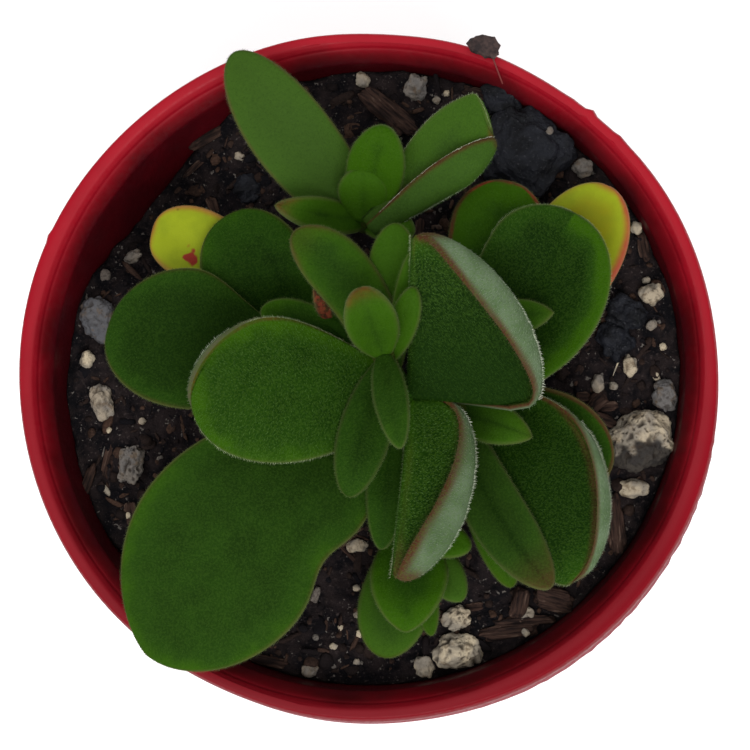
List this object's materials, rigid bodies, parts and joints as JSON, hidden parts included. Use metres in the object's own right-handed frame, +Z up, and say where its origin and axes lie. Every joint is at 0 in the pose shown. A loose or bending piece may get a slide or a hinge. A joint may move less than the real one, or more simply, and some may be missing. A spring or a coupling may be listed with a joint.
{
  "type": "potted crassula",
  "caption": "Hairy-leaved crassula with fleshy, partly folded leaves on short stems, in bark and pumice mix, in a small round red plastic pot.",
  "frame": {"origin": "on the surface that the pot stands on, under the middle of the pot", "axes": "+Z up; +Y is the far side of the pot and +X its right side as the plant is looked at from above"},
  "size_m": [0.1, 0.1, 0.1119],
  "materials": {
    "red_plastic": "moulded crimson plastic, satin, darker on the inner wall",
    "potting_mix": "damp near-black bark and peat crumbs",
    "pumice": "pitted pale stone, cream to grey",
    "bark": "rough brown bark chip",
    "charcoal": "rough bluish-black charcoal",
    "green_leaf": "velvety dark green with short pale hairs, paler silver-green underside, red-brown margins",
    "yellow_leaf": "fading yellow-olive leaf with an orange-red margin",
    "dry_leaf": "dry dull brown scrap"
  },
  "bodies": {
    "root": {"pot": "red_plastic", "potting_mix": "potting_mix", "bark_back": "bark", "bark_front": "bark", "bark_front_right": "bark", "bark_right": "bark", "charcoal_lump": "charcoal", "dry_leaf_scrap": "dry_leaf", "pumice_back": "pumice", "pumice_back_grey": "pumice", "pumice_front_cream": "pumice", "pumice_front_inner": "pumice", "pumice_front_large": "pumice", "pumice_front_left": "pumice", "pumice_front_mid": "pumice", "pumice_front_right": "pumice", "pumice_left": "pumice", "pumice_left_back": "pumice", "pumice_left_cream": "pumice", "pumice_left_grey": "pumice", "pumice_left_white": "pumice", "pumice_right_back": "pumice", "pumice_right_grey": "pumice", "pumice_right_large": "pumice", "pumice_right_low": "pumice", "pumice_right_mid": "pumice", "pumice_right_oval": "pumice", "pumice_right_white": "pumice", "shoot_front": "green_leaf", "shoot_left": "green_leaf", "shoot_main": "green_leaf", "shoot_right": "green_leaf", "shoot_upper": "green_leaf", "yellow_leaf_left": "yellow_leaf", "yellow_leaf_right": "yellow_leaf"}
  },
  "joints": []
}
